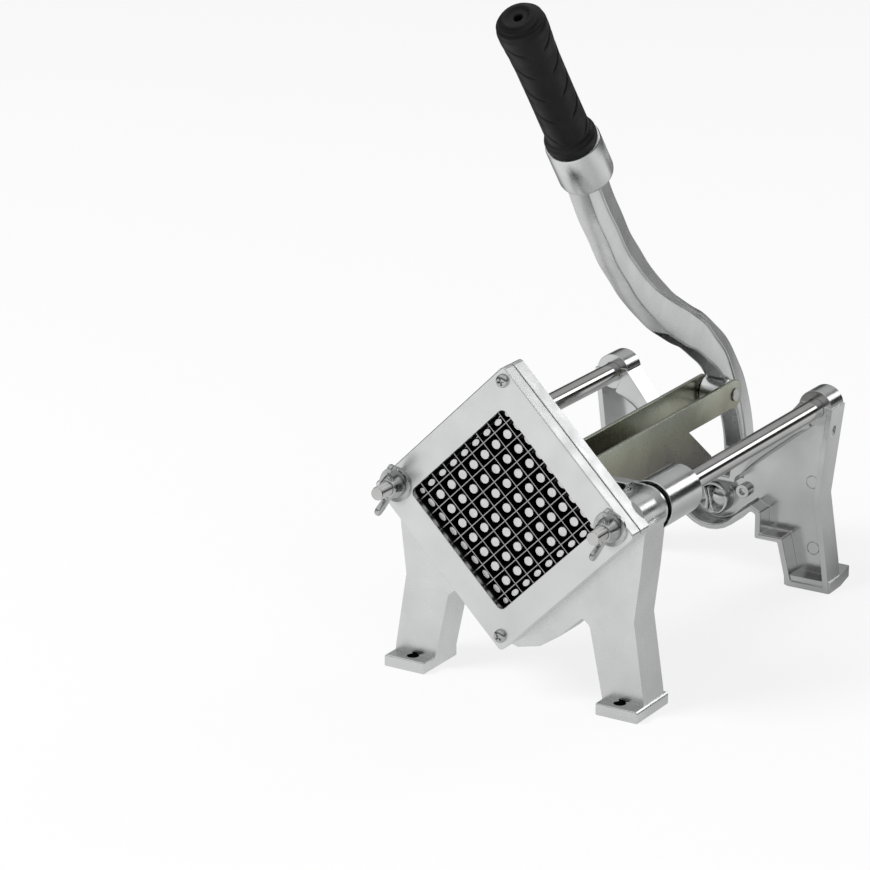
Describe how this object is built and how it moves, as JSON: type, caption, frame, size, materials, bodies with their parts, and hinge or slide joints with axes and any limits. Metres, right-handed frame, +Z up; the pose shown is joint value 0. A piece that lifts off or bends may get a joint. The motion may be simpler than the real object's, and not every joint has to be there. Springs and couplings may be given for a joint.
{
  "type": "french fry cutter",
  "caption": "Lever-operated french fry cutter: diamond blade grid on a cast frame, pusher sliding on two rods, long handle with ribbed grip.",
  "frame": {"origin": "centre of the bounding box at the underside of the feet", "axes": "+X to the right as seen from the blade grid's side, +Y from the blade grid back to the lever pivot, +Z up"},
  "size_m": [0.1654, 0.3204, 0.3896],
  "materials": {
    "cast_aluminium": "satin",
    "satin_aluminium": "satin",
    "polished_aluminium": "polished",
    "dark_aluminium": "satin",
    "polished_steel": "polished",
    "blade_steel": "fine grain",
    "black_steel": "black oxide",
    "zinc_steel": "zinc plated",
    "bronze": "satin",
    "black_rubber": "moulded scale pattern"
  },
  "bodies": {
    "frame": {"front_frame": "cast_aluminium", "cover_plate": "satin_aluminium", "cover_screws": "polished_steel", "blade_holder": "dark_aluminium", "blades_rising": "blade_steel", "blades_falling": "blade_steel", "guide_rod_left": "polished_steel", "guide_rod_right": "polished_steel", "washer_left": "polished_steel", "washer_right": "polished_steel", "rear_frame": "polished_aluminium", "rod_set_screws": "black_steel", "pivot_bolt": "polished_steel", "pivot_nut": "polished_steel", "pivot_washers": "polished_steel"},
    "left_nut": {"wing_nut_left": "polished_steel"},
    "right_nut": {"wing_nut_right": "polished_steel"},
    "lever": {"lever": "polished_aluminium", "lever_bush": "bronze", "grip": "black_rubber", "link_pin": "polished_steel", "link_spacers": "polished_steel"},
    "link": {"link": "zinc_steel", "link_front_pin": "polished_steel"},
    "carriage": {"carriage": "cast_aluminium", "bush_left": "bronze", "bush_right": "bronze", "link_lug_screws": "polished_steel", "pusher_block": "cast_aluminium", "pusher_screws": "polished_steel"}
  },
  "joints": [
    {"name": "lever_swing", "type": "hinge", "parent": "frame", "child": "lever", "pos_m": [0, 0.14975, 0.0435], "axis": [-1, 0, 0], "range_deg": [0, 85]},
    {"name": "carriage_slide", "type": "slide", "parent": "frame", "child": "carriage", "axis": [0, 1, 0], "range_m": [-0.0002, 0.10345]},
    {"name": "link_pivot", "type": "hinge", "parent": "lever", "child": "link", "pos_m": [0, 0.11265, 0.1115], "axis": [-1, 0, 0], "range_deg": [-77.72, 0.2]},
    {"name": "left_nut_turn", "type": "hinge", "parent": "frame", "child": "left_nut", "pos_m": [-0.0682, -0.14625, 0.1142], "axis": [0, 1, 0], "continuous": true},
    {"name": "right_nut_turn", "type": "hinge", "parent": "frame", "child": "right_nut", "pos_m": [0.0682, -0.14625, 0.1142], "axis": [0, 1, 0], "continuous": true}
  ],
  "couplings": [
    {"joint": "carriage_slide", "follows": "lever_swing", "m_per_rad": 0.069597},
    {"joint": "link_pivot", "follows": "lever_swing", "ratio": -0.91204}
  ]
}
